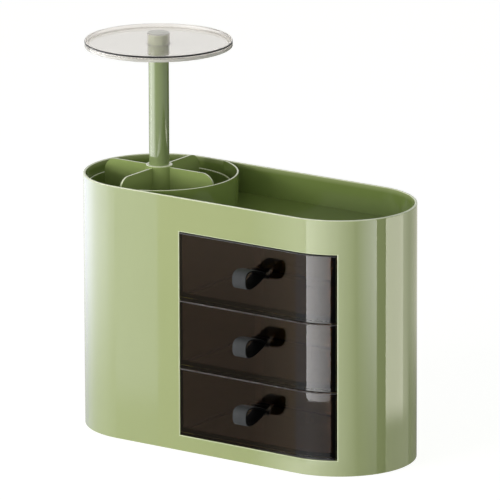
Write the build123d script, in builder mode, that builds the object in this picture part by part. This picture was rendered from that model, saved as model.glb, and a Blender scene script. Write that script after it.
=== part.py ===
from build123d import *
import os
from math import cos, radians, sin, sqrt

os.makedirs("parts", exist_ok=True)

# Units are millimetres. X runs along the body, the drawers open towards -Y, Z is up.
# The origin is the centre of the body's underside.

# Body
END_R = 65.0                 # radius of each round end, half the body's depth
SPAN = 187.0                 # between the centres of the two round ends
BODY_H = 221.5               # table to rim
WALL = 2.2                   # shell wall
RIM_ROUND = 0.9              # edge rounding of the rim
FOOT_ROUND = 0.5             # edge rounding at the table
EDGE_ROUND = 0.8             # edge rounding of the window
SEAT = 0.15                  # gap of a piece seated inside the shell
OVERLAP = 0.2                # a boss or ledge runs this far into the wall that carries it
NEAR = 0.01                  # two places closer than this are one
INNER_R = END_R - WALL
AXIS_X = -SPAN / 2           # carousel axis, centre of the left end
RIGHT_X = SPAN / 2           # centre of the right end

# Drawer window in the front wall
PARTITION_R = END_R + 2.0    # middle of the well's partition, about the carousel axis
WELL_GAP = 0.1               # from the partition's middle to the window
WIN_SHORT = 30.6             # the window ends this far inside the body's right end
PLINTH = 13.8                # wall left under the window
HEADER = 29.9                # wall left over the window
WIN_LEFT = AXIS_X + PARTITION_R + WELL_GAP
WIN_RIGHT = RIGHT_X + END_R - WIN_SHORT
WIN_LOW = PLINTH
WIN_TOP = BODY_H - HEADER
DRAWERS = 3
PITCH = (WIN_TOP - WIN_LOW) / DRAWERS

# Runners on the bay panels
PANEL_T = 2.4
PANEL_GAP = 0.3              # panel to the shell at front and back
LEFT_CLEAR = 0.6             # left panel stands this far outside the window
RIGHT_CLEAR = 0.5            # right panel stands this far outside the window
LEFT_FACE = WIN_LEFT - LEFT_CLEAR
RIGHT_FACE = WIN_RIGHT + RIGHT_CLEAR
RUNNER_W = 5.5
RUNNER_T = 1.6
STOP_T = 1.8                 # closing stop behind the drawer
STOP_H = 24.0
STOP_REACH = 2.0             # closing stop reaches this far past the runner
STOP_GAP = 0.5
TAB_W = 5.5                  # opening stop, inboard of the runner
TAB_D = 3.0
LUG_W = 3.5
LUG_D = 2.4
LUG_H = 1.4
LUG_INSET = 0.1              # lug to the drawer's back edge
LEFT_RUN_FRONT = -END_R + 5.0
RIGHT_RUN_INSET = 3.235      # right runner starts this far behind the wall
RIGHT_RUN_FRONT = RIGHT_RUN_INSET - sqrt(INNER_R ** 2 - (RIGHT_FACE - RIGHT_X) ** 2)

# Drawers
SIDE_GAP = 0.6               # drawer to window at each side
FRONT_GAP = 0.7              # between two drawer fronts
FRONT_T = 2.6                # drawer front
LIP_ROUND = 0.8              # edge rounding along the front's top
BOX_WALL = 1.8               # drawer sides, back and floor
BOX_SHORT = 19.0             # drawer's back stops this far inside the body's back
BOX_BACK = END_R - BOX_SHORT
BOX_DROP = 1.5               # sides stop this far under the front's top edge
FLOOR_RISE = 2.4             # front reaches this far below the floor, over the runner
BACK_CORNER = 8.0            # round of the rear corners
INNER_CORNER = 3.0           # moulded round inside
RUN_GAP = 0.15               # drawer floor over its runner
TRAVEL = BOX_BACK - LUG_D - LUG_INSET - TAB_D - RIGHT_RUN_FRONT

# Base plate
BASE_T = 2.4
RIB_H = 3.0
RIB_T = 1.5
BASE_RIB_L = 36.0
BOSS_R = 4.5
BOSS_INSET = 6.2             # screw bosses run into the shell's wall
BOSS_RING = END_R - BOSS_INSET
BOSS_TOP = 12.0
BOSS_ROOF = 1.5              # material left over a blind screw hole
SIDE_BOSS_X = 20.0
LEFT_SCREWS = (115, 180, 245)  # angles of the screws in the left end, degrees
RIGHT_SCREWS = (-65, 0, 65)  # angles of the screws in the right end, degrees
PANEL_BOSS_R = 4.0
LEFT_BOSS_OUT = 3.2          # boss centre from the outer face of the left panel
LEFT_BOSS_Y = 35.0
RIGHT_BOSS_OUT = 3.0         # boss centre from the outer face of the right panel
RIGHT_BOSS_Y = 25.0
SCREW_R = 1.45
PILOT_R = 1.5
HOLE_GAP = 0.1               # screw hole over the pilot radius
HEAD_R = 2.9
HEAD_H = 1.5
SCREW_L = 9.0
TIP_L = 1.6
RECESS_W = 0.7               # cross recess of the heads
RECESS_L = 3.6
RECESS_D = 0.7

# Top deck and the well's partition
DECK_DROP = 25.5             # deck under the rim
DECK_TOP = BODY_H - DECK_DROP
DECK_T = 2.2
DECK_RIB_L = 60.0
DECK_RIB_H = 1.2
PARTITION_T = 1.6
PARTITION_ROUND = 0.6
PARTITION_END = 23.0         # its ends are cut square here, where they meet the wall
LEDGE_W = 2.6
LEDGE_T = 1.8
DECK_LOW = DECK_TOP - DECK_T

# Well shelf
SHELF_DROP = 101.5           # shelf under the rim
SHELF_TOP = BODY_H - SHELF_DROP
SHELF_T = 2.5
SHELF_GAP = 0.4
SHELF_R = INNER_R - SHELF_GAP
SHELF_RIB_H = 6.0
SHELF_RIB_T = 1.6
SHELF_RIB_SHORT = 14.0       # ribs end this far inside the wall
SHELF_RIBS = 6
SHELF_SCREWS = (120, 180, 240)  # angles of its screws, degrees
SHELF_TAB_D = 24.0           # tab of the left panel under the shelf
SHELF_TAB_L = 4.0
PIN_R = 6.0
PIN_H = 9.0
PIN_COLLAR = 2.5
PIN_TOP = SHELF_TOP + PIN_H
RUN_FIT = 0.06               # radial running clearance of cup on pin

# Glide ring
GLIDE_IN = INNER_R - 22.8
GLIDE_OUT = INNER_R - 16.8
GLIDE_SUNK = 0.6
GLIDE_T = 2.0
GLIDE_GAP = 0.1
GLIDE_EDGE = 0.4

# Carousel
CUP_GAP = 0.8                # cup to the shell's wall
CUP_R = INNER_R - CUP_GAP
CUP_WALL = 1.6
CUP_FLOOR_T = 2.0
CUP_FOOT_ROUND = 2.0
CUP_DROP = 9.7               # cup's rim under the body's rim
CUP_RIM = BODY_H - CUP_DROP
CUP_RIM_ROUND = 0.65
CUP_LOW = SHELF_TOP - GLIDE_SUNK + GLIDE_T + GLIDE_GAP
CUP_FLOOR = CUP_LOW + CUP_FLOOR_T
COLLAR_R = 9.0
COLLAR_H = 5.1
COLLAR_TOP = CUP_FLOOR + COLLAR_H
HUB_R = 11.5
HUB_RISE = 6.5               # hub over the body's rim
HUB_TOP = BODY_H + HUB_RISE
HUB_ROUND = 0.8
HUB_SOCKET_R = COLLAR_R + HOLE_GAP
HUB_SOCKET_H = 12.5
HUB_SOCKET_TOP = CUP_FLOOR + HUB_SOCKET_H
SHOULDER_R = 7.0
VANE_RISE = 4.9              # vanes over the body's rim
VANE_TOP = BODY_H + VANE_RISE
VANE_GAP = 4.7               # vanes to the cup's outer wall
VANE_R = CUP_R - VANE_GAP
VANE_T = 1.7
VANE_CORNER = 12.0

# Display tray
TRAY_R = END_R - 1.9
TRAY_LIFT = 115.1            # tray's lip over the body's rim
TRAY_RIM = BODY_H + TRAY_LIFT
TRAY_H = 5.3
TRAY_FLOOR_T = 2.2
TRAY_LIP_T = 1.9
TRAY_ROUND = 0.7
TRAY_CORNER = 1.1            # moulded round between floor and lip
SOCKET_WALL = 0.9
SOCKET_ROOF = 1.0
SOCKET_GAP = 0.05
SOCKET_ROUND = 0.5
POST_R = 8.7
POST_WALL = 1.8
POST_ROOF = 2.0
POST_ROUND = 0.6
POST_SEAT = 30.0             # foot of the post over the well shelf
POST_LOW = SHELF_TOP + POST_SEAT
POST_RISE = 5.3              # end of the post over the tray's lip
POST_TOP = TRAY_RIM + POST_RISE
POST_FIT = 0.1

# Pivot hardware
WASHER_R = 8.0
WASHER_T = 1.2
PAN_R = 3.2
PAN_H = 2.4
PAN_ROUND = 1.0

# Loop pulls
PULL_SHIFT = 5.25            # to the right of the middle of the window
PULL_X = (WIN_LEFT + WIN_RIGHT) / 2 + PULL_SHIFT
PULL_RISE = 5.5              # above the middle of the drawer front
PULL_W = 13.6
PULL_T = 1.3                 # strap thickness
PULL_REACH = 29.5
PULL_HALF = 7.9              # half height of the loop
PULL_OPEN = 28.0             # angle at which each strap leaves the root, degrees
PULL_ROOT = 2.0              # the two straps lie together this far out
SLOT_GAP = 0.3
ANCHOR_W = 18.5
ANCHOR_H = 8.0
ANCHOR_T = 1.5
ANCHOR_ROUND = 1.2
BEAD_R = 1.9
BEAD_W = 10.0


def save(part, name):
    """Names a finished piece and writes it."""
    part.label = name
    export_step(part, "parts/" + name + ".step")


def drawer_low(index):
    """Lower edge of a drawer front, counted from the bottom drawer."""
    return WIN_LOW + index * PITCH + FRONT_GAP / 2


def drawer_floor(index):
    """Underside of a drawer's floor."""
    return drawer_low(index) + FLOOR_RISE


def on_outside(point):
    """True for a point on the body's outer wall."""
    beyond = max(abs(point.X) - SPAN / 2, 0.0)
    return abs(sqrt(beyond ** 2 + point.Y ** 2) - END_R) < NEAR


def window_edge(edge):
    """True for an edge of the window on the outer wall."""
    middle = edge.position_at(0.5)
    inside = WIN_LEFT - NEAR < middle.X < WIN_RIGHT + NEAR
    level = WIN_LOW - NEAR < middle.Z < WIN_TOP + NEAR
    seam = abs(middle.X - RIGHT_X) < NEAR and abs(edge.tangent_at(0.5).Z) > 0.9
    return inside and level and middle.Y < 0 and on_outside(middle) and not seam


def end_points(centre_x, radius, angles):
    """Points round one end of the body."""
    return [(centre_x + radius * cos(radians(a)), radius * sin(radians(a))) for a in angles]


TURNING = Plane(origin=(AXIS_X, 0, 0), x_dir=(1, 0, 0), z_dir=(0, -1, 0))
CAROUSEL_AXIS = Axis((AXIS_X, 0, 0), (0, 0, 1))

left_bosses = end_points(AXIS_X, BOSS_RING, LEFT_SCREWS)
right_bosses = end_points(RIGHT_X, BOSS_RING, RIGHT_SCREWS)
side_bosses = [(SIDE_BOSS_X, -BOSS_RING), (SIDE_BOSS_X, BOSS_RING)]
shell_bosses = left_bosses + right_bosses + side_bosses
shelf_bosses = end_points(AXIS_X, BOSS_RING, SHELF_SCREWS)
left_panel_bosses = [(LEFT_FACE - PANEL_T - LEFT_BOSS_OUT, y) for y in (-LEFT_BOSS_Y, LEFT_BOSS_Y)]
right_panel_bosses = [(RIGHT_FACE + PANEL_T + RIGHT_BOSS_OUT, y) for y in (-RIGHT_BOSS_Y, RIGHT_BOSS_Y)]
panel_bosses = left_panel_bosses + right_panel_bosses

# Body shell: one stadium wall with a rounded rim, the drawer window, the ledge
# under the deck, the ledge under the well shelf and the screw bosses.
with BuildPart() as body_shell:
    with BuildSketch(Plane.XY):
        SlotCenterToCenter(SPAN, 2 * END_R)
        SlotCenterToCenter(SPAN, 2 * INNER_R, mode=Mode.SUBTRACT)
    extrude(amount=BODY_H)
    fillet(body_shell.faces().sort_by(Axis.Z)[-1].edges(), RIM_ROUND)
    foot = [e for e in body_shell.edges() if abs(e.center().Z) < NEAR and on_outside(e.position_at(0.5))]
    fillet(foot, FOOT_ROUND)
    with BuildSketch(Plane.XZ.offset(END_R / 2)):
        with Locations(((WIN_LEFT + WIN_RIGHT) / 2, (WIN_LOW + WIN_TOP) / 2)):
            Rectangle(WIN_RIGHT - WIN_LEFT, WIN_TOP - WIN_LOW)
    extrude(amount=END_R, mode=Mode.SUBTRACT)
    fillet(body_shell.edges().filter_by(window_edge), EDGE_ROUND)
    with BuildSketch(Plane.XY.offset(DECK_LOW - LEDGE_T)):
        SlotCenterToCenter(SPAN, 2 * (INNER_R + OVERLAP))
        SlotCenterToCenter(SPAN, 2 * (INNER_R - LEDGE_W), mode=Mode.SUBTRACT)
        with Locations((LEFT_FACE + STOP_GAP, 0)):
            Rectangle(SPAN, 3 * END_R, align=(Align.MAX, Align.CENTER), mode=Mode.SUBTRACT)
    extrude(amount=LEDGE_T)
    with BuildSketch(Plane.XY.offset(SHELF_TOP - SHELF_T - LEDGE_T)):
        with Locations((AXIS_X, 0)):
            Circle(INNER_R + OVERLAP)
            Circle(INNER_R - LEDGE_W, mode=Mode.SUBTRACT)
            Rectangle(END_R, 3 * END_R, align=(Align.MIN, Align.CENTER), mode=Mode.SUBTRACT)
    extrude(amount=LEDGE_T)
    with BuildSketch(Plane.XY.offset(BASE_T)):
        with Locations(*shell_bosses):
            Circle(BOSS_R)
    extrude(amount=BOSS_TOP - BASE_T)
    with BuildSketch(Plane.XY.offset(SHELF_TOP - SHELF_T - BOSS_TOP)):
        with Locations(*shelf_bosses):
            Circle(BOSS_R)
    extrude(amount=BOSS_TOP)
    with BuildSketch(Plane.XY.offset(BASE_T)):
        with Locations(*shell_bosses):
            Circle(PILOT_R)
    extrude(amount=BOSS_TOP - BASE_T - BOSS_ROOF, mode=Mode.SUBTRACT)
    with BuildSketch(Plane.XY.offset(SHELF_TOP - SHELF_T)):
        with Locations(*shelf_bosses):
            Circle(PILOT_R)
    extrude(amount=-(BOSS_TOP - BOSS_ROOF), mode=Mode.SUBTRACT)
save(body_shell.part, "body_shell")

# Base plate: closes the shell, with ribs that locate the bay panels and
# countersunk holes for the screws.
with BuildPart() as base_plate:
    with BuildSketch(Plane.XY):
        SlotCenterToCenter(SPAN, 2 * (INNER_R - SEAT))
    extrude(amount=BASE_T)
    with BuildSketch(Plane.XY.offset(BASE_T)):
        for x in (LEFT_FACE - PANEL_T, RIGHT_FACE):
            with Locations((x - RIB_T / 2 - SEAT, 0), (x + PANEL_T + RIB_T / 2 + SEAT, 0)):
                Rectangle(RIB_T, BASE_RIB_L)
    extrude(amount=RIB_H)
    with Locations(*[(x, y, 0) for x, y in shell_bosses + panel_bosses]):
        Cone(HEAD_R + HOLE_GAP, PILOT_R + HOLE_GAP, HEAD_H, align=(Align.CENTER, Align.CENTER, Align.MIN),
             mode=Mode.SUBTRACT)
        Cylinder(PILOT_R + HOLE_GAP, 2 * BASE_T, mode=Mode.SUBTRACT)
save(base_plate.part, "base_plate")


def countersunk_screws(points, face_z, down):
    """Makes a group of equal countersunk screws.

    The head is flush with face_z; down is 1 when the tip points up and -1 when it points down.
    """
    with BuildPart() as screws:
        for x, y in points:
            with BuildSketch(Plane(origin=(x, y, face_z), x_dir=(1, 0, 0), z_dir=(0, -1, 0))):
                with BuildLine():
                    Polyline((0, 0), (HEAD_R, 0), (SCREW_R, down * HEAD_H),
                             (SCREW_R, down * (SCREW_L - TIP_L)), (0, down * SCREW_L), close=True)
                make_face()
            revolve(axis=Axis((x, y, face_z), (0, 0, 1)))
            with Locations((x, y, face_z)):
                Box(RECESS_W, RECESS_L, 2 * RECESS_D, mode=Mode.SUBTRACT)
                Box(RECESS_L, RECESS_W, 2 * RECESS_D, mode=Mode.SUBTRACT)
    return screws.part


save(countersunk_screws(shell_bosses + panel_bosses, 0.0, 1), "base_screws")
save(countersunk_screws(shelf_bosses, SHELF_TOP, -1), "shelf_screws")

# Top deck: floor of the top tray, with the partition that bends round the carousel.
with BuildPart() as top_deck:
    with BuildSketch(TURNING) as rail:
        with Locations((PARTITION_R, DECK_LOW)):
            Rectangle(PARTITION_T, BODY_H - DECK_LOW, align=(Align.CENTER, Align.MIN))
        fillet(rail.vertices().group_by(Axis.Y)[-1], PARTITION_ROUND)
    revolve(axis=CAROUSEL_AXIS)
    with BuildSketch(Plane.XY.offset(DECK_LOW - DECK_T)):
        SlotCenterToCenter(SPAN, 2 * (INNER_R - SEAT))
        with Locations((AXIS_X + PARTITION_END, 0)):
            Rectangle(3 * END_R, 3 * END_R, align=(Align.MAX, Align.CENTER), mode=Mode.SUBTRACT)
    extrude(amount=2 * BODY_H, mode=Mode.INTERSECT)
    with BuildSketch(Plane.XY.offset(DECK_LOW)):
        SlotCenterToCenter(SPAN, 2 * (INNER_R - SEAT))
        with Locations((AXIS_X, 0)):
            Circle(PARTITION_R, mode=Mode.SUBTRACT)
        with Locations((AXIS_X + PARTITION_END, 0)):
            Rectangle(3 * END_R, 3 * END_R, align=(Align.MAX, Align.CENTER), mode=Mode.SUBTRACT)
    extrude(amount=DECK_T)
    with BuildSketch(Plane.XY.offset(DECK_LOW)):
        for x in (LEFT_FACE - PANEL_T, RIGHT_FACE):
            with Locations((x + PANEL_T + RIB_T / 2 + SEAT, 0)):
                Rectangle(RIB_T, DECK_RIB_L)
    extrude(amount=-DECK_RIB_H)
save(top_deck.part, "top_deck")


def bay_panel(face_x, inward, front, back, panel_top, run_front, bosses):
    """Makes one side panel of the drawer bay.

    The panel carries a runner, a closing stop and an opening stop for each drawer.
    inward is 1 where the bay lies towards +X of the panel and -1 where it lies towards -X.
    """
    height = panel_top - BASE_T
    side = Align.MAX if inward > 0 else Align.MIN
    bay = Align.MIN if inward > 0 else Align.MAX
    with BuildPart() as panel:
        with Locations((face_x, front, BASE_T)):
            Box(PANEL_T, back - front, height, align=(side, Align.MIN, Align.MIN))
        for index in range(DRAWERS):
            top = drawer_floor(index) - RUN_GAP
            with Locations((face_x, run_front, top)):
                Box(RUNNER_W, BOX_BACK + STOP_GAP + STOP_T - run_front, RUNNER_T,
                    align=(bay, Align.MIN, Align.MAX))
            with Locations((face_x, BOX_BACK + STOP_GAP, top - RUNNER_T)):
                Box(RUNNER_W + STOP_REACH, STOP_T, STOP_H, align=(bay, Align.MIN, Align.MIN))
            with Locations((face_x, run_front, top)):
                Box(RUNNER_W + TAB_W, TAB_D, RUNNER_T, align=(bay, Align.MIN, Align.MAX))
        for x, y in bosses:
            with BuildSketch(Plane.XY.offset(BASE_T)):
                with Locations((x, y)):
                    Circle(PANEL_BOSS_R)
            extrude(amount=BOSS_TOP - BASE_T)
            with BuildSketch(Plane.XY.offset(BASE_T)):
                with Locations((x, y)):
                    Circle(PILOT_R)
            extrude(amount=BOSS_TOP - BASE_T - BOSS_ROOF, mode=Mode.SUBTRACT)
        if inward > 0:
            with Locations((face_x - PANEL_T, 0, SHELF_TOP - SHELF_T)):
                Box(SHELF_TAB_L, SHELF_TAB_D, LEDGE_T, align=(Align.MAX, Align.CENTER, Align.MAX))
    return panel.part


RIGHT_DEPTH = sqrt(INNER_R ** 2 - (RIGHT_FACE + PANEL_T - RIGHT_X) ** 2) - PANEL_GAP
save(bay_panel(LEFT_FACE, 1, -INNER_R + PANEL_GAP, INNER_R - PANEL_GAP, DECK_LOW - SEAT,
               LEFT_RUN_FRONT, left_panel_bosses), "bay_panel_left")
save(bay_panel(RIGHT_FACE, -1, -RIGHT_DEPTH, RIGHT_DEPTH, DECK_LOW - LEDGE_T - SEAT, RIGHT_RUN_FRONT,
               right_panel_bosses), "bay_panel_right")

# Well shelf: ribbed disc with the pivot pin and the groove of the glide ring.
with BuildPart() as well_shelf:
    with BuildSketch(Plane.XY.offset(SHELF_TOP)):
        with Locations((AXIS_X, 0)):
            Circle(SHELF_R)
    extrude(amount=-SHELF_T)
    with BuildSketch(Plane.XY.offset(SHELF_TOP - SHELF_T)):
        with Locations((AXIS_X, 0)):
            Circle(PIN_R + PIN_COLLAR)
            with PolarLocations(0, SHELF_RIBS, start_angle=30):
                Rectangle(INNER_R - SHELF_RIB_SHORT, SHELF_RIB_T, align=(Align.MIN, Align.CENTER))
    extrude(amount=-SHELF_RIB_H)
    with BuildSketch(Plane.XY.offset(SHELF_TOP)):
        with Locations((AXIS_X, 0)):
            Circle(PIN_R)
    extrude(amount=PIN_TOP - SHELF_TOP)
    with BuildSketch(Plane.XY.offset(SHELF_TOP)):
        with Locations((AXIS_X, 0)):
            Circle(GLIDE_OUT + GLIDE_GAP)
            Circle(GLIDE_IN - GLIDE_GAP, mode=Mode.SUBTRACT)
    extrude(amount=-GLIDE_SUNK, mode=Mode.SUBTRACT)
    with BuildSketch(Plane.XY.offset(PIN_TOP)):
        with Locations((AXIS_X, 0)):
            Circle(PILOT_R)
    extrude(amount=-(SCREW_L + BOSS_ROOF), mode=Mode.SUBTRACT)
    with Locations(*[(x, y, SHELF_TOP) for x, y in shelf_bosses]):
        Cone(PILOT_R + HOLE_GAP, HEAD_R + HOLE_GAP, HEAD_H, align=(Align.CENTER, Align.CENTER, Align.MAX),
             mode=Mode.SUBTRACT)
        Cylinder(PILOT_R + HOLE_GAP, 3 * SHELF_T, mode=Mode.SUBTRACT)
save(well_shelf.part, "well_shelf")

# Glide ring: low-friction ring the cup turns on.
with BuildPart() as glide_ring:
    with BuildSketch(Plane.XY.offset(SHELF_TOP - GLIDE_SUNK)):
        with Locations((AXIS_X, 0)):
            Circle(GLIDE_OUT)
            Circle(GLIDE_IN, mode=Mode.SUBTRACT)
    extrude(amount=GLIDE_T)
    chamfer(glide_ring.faces().sort_by(Axis.Z)[-1].edges(), GLIDE_EDGE)
save(glide_ring.part, "glide_ring")

# Pivot washer and pan-head screw on the pin, inside the foot of the hub.
with BuildPart() as pivot_washer:
    with BuildSketch(Plane.XY.offset(PIN_TOP)):
        with Locations((AXIS_X, 0)):
            Circle(WASHER_R)
            Circle(PILOT_R + 2 * HOLE_GAP, mode=Mode.SUBTRACT)
    extrude(amount=WASHER_T)
save(pivot_washer.part, "pivot_washer")

with BuildPart() as pivot_screw:
    with BuildSketch(Plane.XY.offset(PIN_TOP + WASHER_T)):
        with Locations((AXIS_X, 0)):
            Circle(PAN_R)
    extrude(amount=PAN_H)
    fillet(pivot_screw.faces().sort_by(Axis.Z)[-1].edges(), PAN_ROUND)
    with BuildSketch(Plane.XY.offset(PIN_TOP + WASHER_T)):
        with Locations((AXIS_X, 0)):
            Circle(SCREW_R)
    extrude(amount=-SCREW_L - WASHER_T)
    with Locations((AXIS_X, 0, PIN_TOP + WASHER_T + PAN_H)):
        Box(RECESS_W, RECESS_L, 2 * RECESS_D, mode=Mode.SUBTRACT)
        Box(RECESS_L, RECESS_W, 2 * RECESS_D, mode=Mode.SUBTRACT)
save(pivot_screw.part, "pivot_screw")

# Carousel cup: turned profile with a collar that runs on the shelf's pin.
with BuildPart() as carousel_cup:
    with BuildSketch(TURNING):
        with BuildLine():
            Polyline((PIN_R + RUN_FIT, CUP_LOW), (CUP_R, CUP_LOW), (CUP_R, CUP_RIM),
                     (CUP_R - CUP_WALL, CUP_RIM), (CUP_R - CUP_WALL, CUP_FLOOR),
                     (COLLAR_R, CUP_FLOOR), (COLLAR_R, COLLAR_TOP),
                     (PIN_R + RUN_FIT, COLLAR_TOP), close=True)
        make_face()
    revolve(axis=CAROUSEL_AXIS)
    levels = carousel_cup.edges().filter_by(GeomType.CIRCLE).group_by(Axis.Z)
    fillet(levels[-1], CUP_RIM_ROUND)
    levels = carousel_cup.edges().filter_by(GeomType.CIRCLE).group_by(Axis.Z)
    fillet(levels[0].sort_by(SortBy.RADIUS)[-1], CUP_FOOT_ROUND)
save(carousel_cup.part, "carousel_cup")

# Carousel divider: hub tube with four vanes, each with a large round at its outer top corner.
with BuildPart() as carousel_divider:
    with BuildSketch(Plane.XZ.offset(-VANE_T / 2)):
        with BuildLine():
            FilletPolyline((AXIS_X + VANE_R, CUP_FLOOR), (AXIS_X + VANE_R, VANE_TOP),
                           (AXIS_X - VANE_R, VANE_TOP), (AXIS_X - VANE_R, CUP_FLOOR),
                           radius=VANE_CORNER)
            Line((AXIS_X - VANE_R, CUP_FLOOR), (AXIS_X + VANE_R, CUP_FLOOR))
        make_face()
    extrude(amount=VANE_T)
    with BuildSketch(Plane(origin=(AXIS_X - VANE_T / 2, 0, 0), x_dir=(0, 1, 0), z_dir=(1, 0, 0))):
        with BuildLine():
            FilletPolyline((VANE_R, CUP_FLOOR), (VANE_R, VANE_TOP), (-VANE_R, VANE_TOP),
                           (-VANE_R, CUP_FLOOR), radius=VANE_CORNER)
            Line((-VANE_R, CUP_FLOOR), (VANE_R, CUP_FLOOR))
        make_face()
    extrude(amount=VANE_T)
    with BuildSketch(Plane.XY.offset(CUP_FLOOR)):
        with Locations((AXIS_X, 0)):
            Circle(HUB_R)
    extrude(amount=HUB_TOP - CUP_FLOOR)
    fillet(carousel_divider.faces().sort_by(Axis.Z)[-1].edges(), HUB_ROUND)
    with BuildSketch(Plane.XY.offset(POST_LOW)):
        with Locations((AXIS_X, 0)):
            Circle(POST_R + POST_FIT)
    extrude(amount=HUB_TOP - POST_LOW, mode=Mode.SUBTRACT)
    with BuildSketch(Plane.XY.offset(CUP_FLOOR)):
        with Locations((AXIS_X, 0)):
            Circle(SHOULDER_R)
    extrude(amount=POST_LOW - CUP_FLOOR, mode=Mode.SUBTRACT)
    with BuildSketch(Plane.XY.offset(CUP_FLOOR)):
        with Locations((AXIS_X, 0)):
            Circle(HUB_SOCKET_R)
    extrude(amount=HUB_SOCKET_TOP - CUP_FLOOR, mode=Mode.SUBTRACT)
save(carousel_divider.part, "carousel_divider")

# Carousel post: tube closed at the top, standing on the shoulder inside the hub.
with BuildPart() as carousel_post:
    with BuildSketch(Plane.XY.offset(POST_LOW)):
        with Locations((AXIS_X, 0)):
            Circle(POST_R)
    extrude(amount=POST_TOP - POST_LOW)
    fillet(carousel_post.faces().sort_by(Axis.Z)[-1].edges(), POST_ROUND)
    with BuildSketch(Plane.XY.offset(POST_LOW)):
        with Locations((AXIS_X, 0)):
            Circle(POST_R - POST_WALL)
    extrude(amount=POST_TOP - POST_LOW - POST_ROOF, mode=Mode.SUBTRACT)
save(carousel_post.part, "carousel_post")

# Display tray: turned dish with a low lip and a raised socket over the post's end.
TRAY_LOW = TRAY_RIM - TRAY_H
TRAY_FLOOR = TRAY_LOW + TRAY_FLOOR_T
SOCKET_R = POST_R + POST_FIT
SOCKET_TOP = POST_TOP + SOCKET_GAP
with BuildPart() as display_tray:
    with BuildSketch(TURNING):
        with BuildLine():
            Polyline((0, SOCKET_TOP), (SOCKET_R, SOCKET_TOP), (SOCKET_R, TRAY_LOW),
                     (TRAY_R, TRAY_LOW), (TRAY_R, TRAY_RIM), (TRAY_R - TRAY_LIP_T, TRAY_RIM),
                     (TRAY_R - TRAY_LIP_T, TRAY_FLOOR), (SOCKET_R + SOCKET_WALL, TRAY_FLOOR),
                     (SOCKET_R + SOCKET_WALL, SOCKET_TOP + SOCKET_ROOF),
                     (0, SOCKET_TOP + SOCKET_ROOF), close=True)
        make_face()
    revolve(axis=CAROUSEL_AXIS)
    rings = display_tray.edges().filter_by(GeomType.CIRCLE)
    lip_top = [e for e in rings if abs(e.center().Z - TRAY_RIM) < NEAR]
    low_edge = [e for e in rings if abs(e.center().Z - TRAY_LOW) < NEAR and e.radius > TRAY_R / 2]
    dome_edge = [e for e in rings if abs(e.center().Z - SOCKET_TOP - SOCKET_ROOF) < NEAR]
    fillet(lip_top + low_edge, TRAY_ROUND)
    fillet(dome_edge, SOCKET_ROUND)
    floor_edge = [e for e in display_tray.edges().filter_by(GeomType.CIRCLE)
                  if abs(e.center().Z - TRAY_FLOOR) < NEAR]
    fillet(floor_edge, TRAY_CORNER)
save(display_tray.part, "display_tray")


def drawer_plan(radius, left, right, back):
    """Sketches the share of the body's plan between two sides and in front of a back line."""
    SlotCenterToCenter(SPAN, 2 * radius)
    with Locations(((left + right) / 2, back)):
        Rectangle(right - left, 4 * END_R, align=(Align.CENTER, Align.MAX), mode=Mode.INTERSECT)


def rear_corners(sketch, back):
    """Finds the two corners of a drawer's plan at its back."""
    return [v for v in sketch.vertices() if abs(v.Y - back) < NEAR]


def make_drawer(index):
    """Makes one clear drawer: a box behind a front that follows the body's outer wall."""
    low = drawer_low(index)
    high = low + PITCH - FRONT_GAP
    floor = drawer_floor(index)
    left = WIN_LEFT + SIDE_GAP
    right = WIN_RIGHT - SIDE_GAP
    slot_z = (low + high) / 2 + PULL_RISE
    inner_back = BOX_BACK - BOX_WALL
    with BuildPart() as drawer:
        with BuildSketch(Plane.XY.offset(floor)) as outer:
            drawer_plan(END_R, left, right, BOX_BACK)
            fillet(rear_corners(outer, BOX_BACK), BACK_CORNER)
        extrude(amount=high - BOX_DROP - floor)
        with BuildSketch(Plane.XY.offset(low)):
            drawer_plan(END_R, left, right, 0.0)
            drawer_plan_cut(END_R - FRONT_T)
        extrude(amount=high - low)
        with BuildSketch(Plane.XY.offset(floor + BOX_WALL)) as inner:
            drawer_plan(END_R - FRONT_T, left + BOX_WALL, right - BOX_WALL, inner_back)
            fillet(rear_corners(inner, inner_back), BACK_CORNER - BOX_WALL)
        extrude(amount=PITCH, mode=Mode.SUBTRACT)
        bottom = [e for e in drawer.edges()
                  if abs(e.center().Z - floor - BOX_WALL) < NEAR and abs(e.tangent_at(0.5).Z) < NEAR]
        fillet(bottom, INNER_CORNER)
        lip = [e for e in drawer.edges()
               if abs(e.center().Z - high) < NEAR and abs(e.tangent_at(0.5).Z) < NEAR]
        fillet(lip, LIP_ROUND)
        for x, run_front, inward in ((LEFT_FACE, LEFT_RUN_FRONT, 1), (RIGHT_FACE, RIGHT_RUN_FRONT, -1)):
            middle = x + inward * (RUNNER_W + TAB_W / 2)
            with Locations((middle, run_front + TAB_D + TRAVEL, floor)):
                Box(LUG_W, LUG_D, LUG_H, align=(Align.CENTER, Align.MIN, Align.MAX))
        with Locations((PULL_X, -END_R + FRONT_T / 2, slot_z)):
            Box(PULL_W + 2 * SLOT_GAP, 2 * FRONT_T, 2 * PULL_T + 2 * SLOT_GAP, mode=Mode.SUBTRACT)
    return drawer.part


def drawer_plan_cut(radius):
    """Takes the body's plan at a smaller radius out of a sketch."""
    SlotCenterToCenter(SPAN, 2 * radius, mode=Mode.SUBTRACT)


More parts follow.
